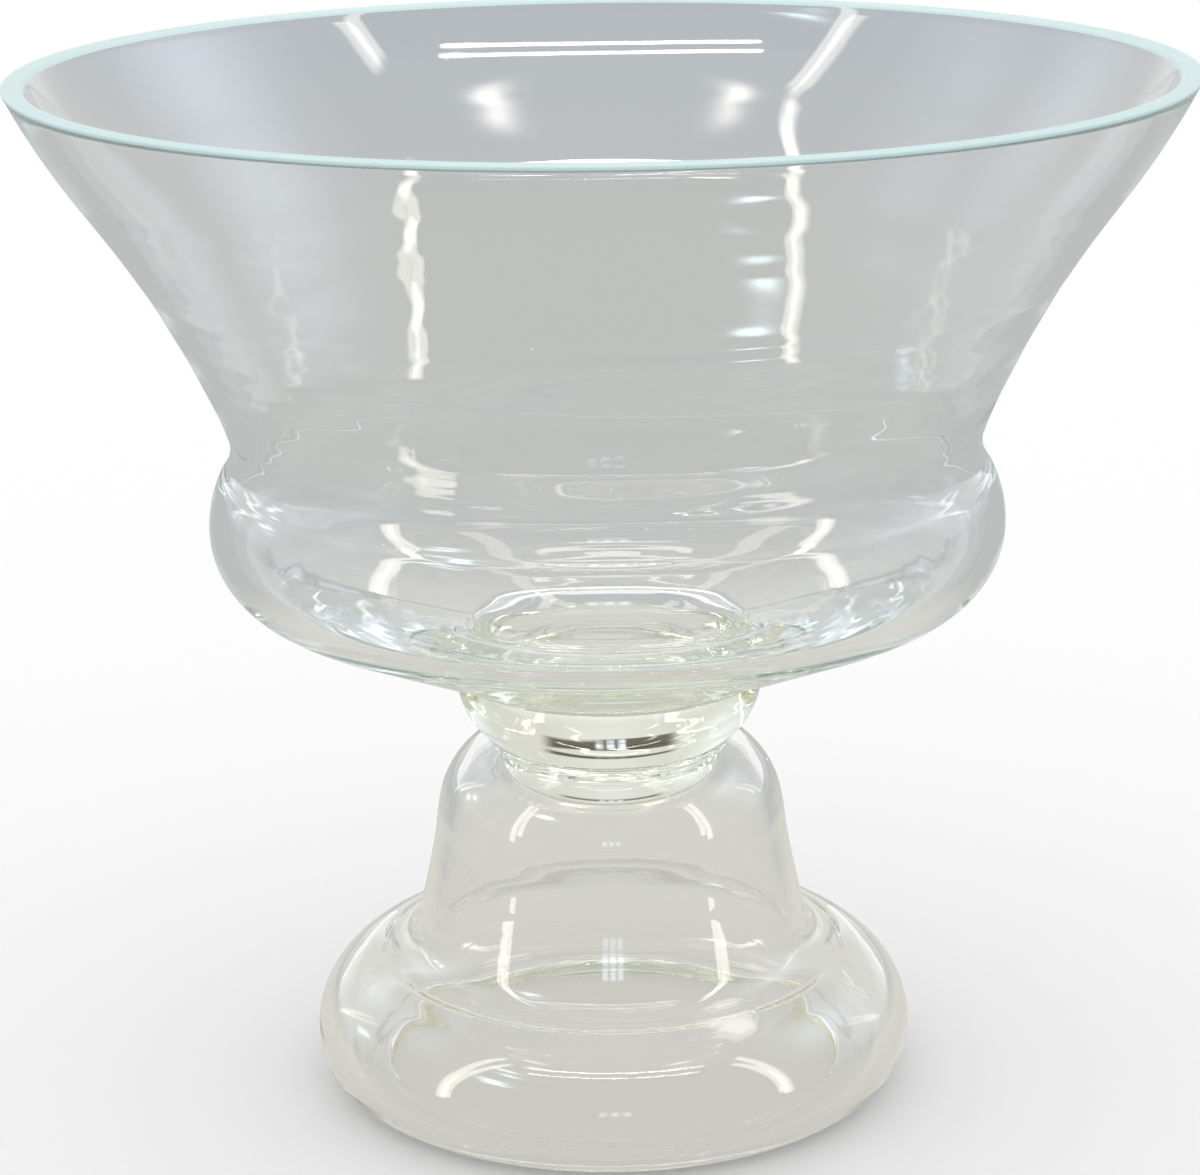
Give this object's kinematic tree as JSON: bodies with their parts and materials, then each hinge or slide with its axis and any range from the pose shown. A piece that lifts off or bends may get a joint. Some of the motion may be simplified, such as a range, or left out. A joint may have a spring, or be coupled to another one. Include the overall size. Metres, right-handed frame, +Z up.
{
  "type": "footed glass bowl",
  "caption": "Clear hand-blown glass bowl with a flared wall and drawn-in waist, joined by a short solid stem to a hollow bell-shaped foot, for serving or display.",
  "frame": {"origin": "centre of the foot's flat base ring, on the surface that the bowl stands on", "axes": "+Z up along the common axis of the foot, stem and bowl; the piece is round, so X and Y are alike"},
  "size_m": [0.2522, 0.2522, 0.2281],
  "materials": {
    "bowl_glass": "clear hand-blown glass, fire-polished, faint aqua at the rim",
    "stem_glass": "clear solid glass, faint yellow-green in the thickness",
    "foot_glass": "clear hand-blown glass, fire-polished"
  },
  "bodies": {
    "root": {"bowl": "bowl_glass", "stem": "stem_glass", "foot": "foot_glass"}
  },
  "joints": []
}
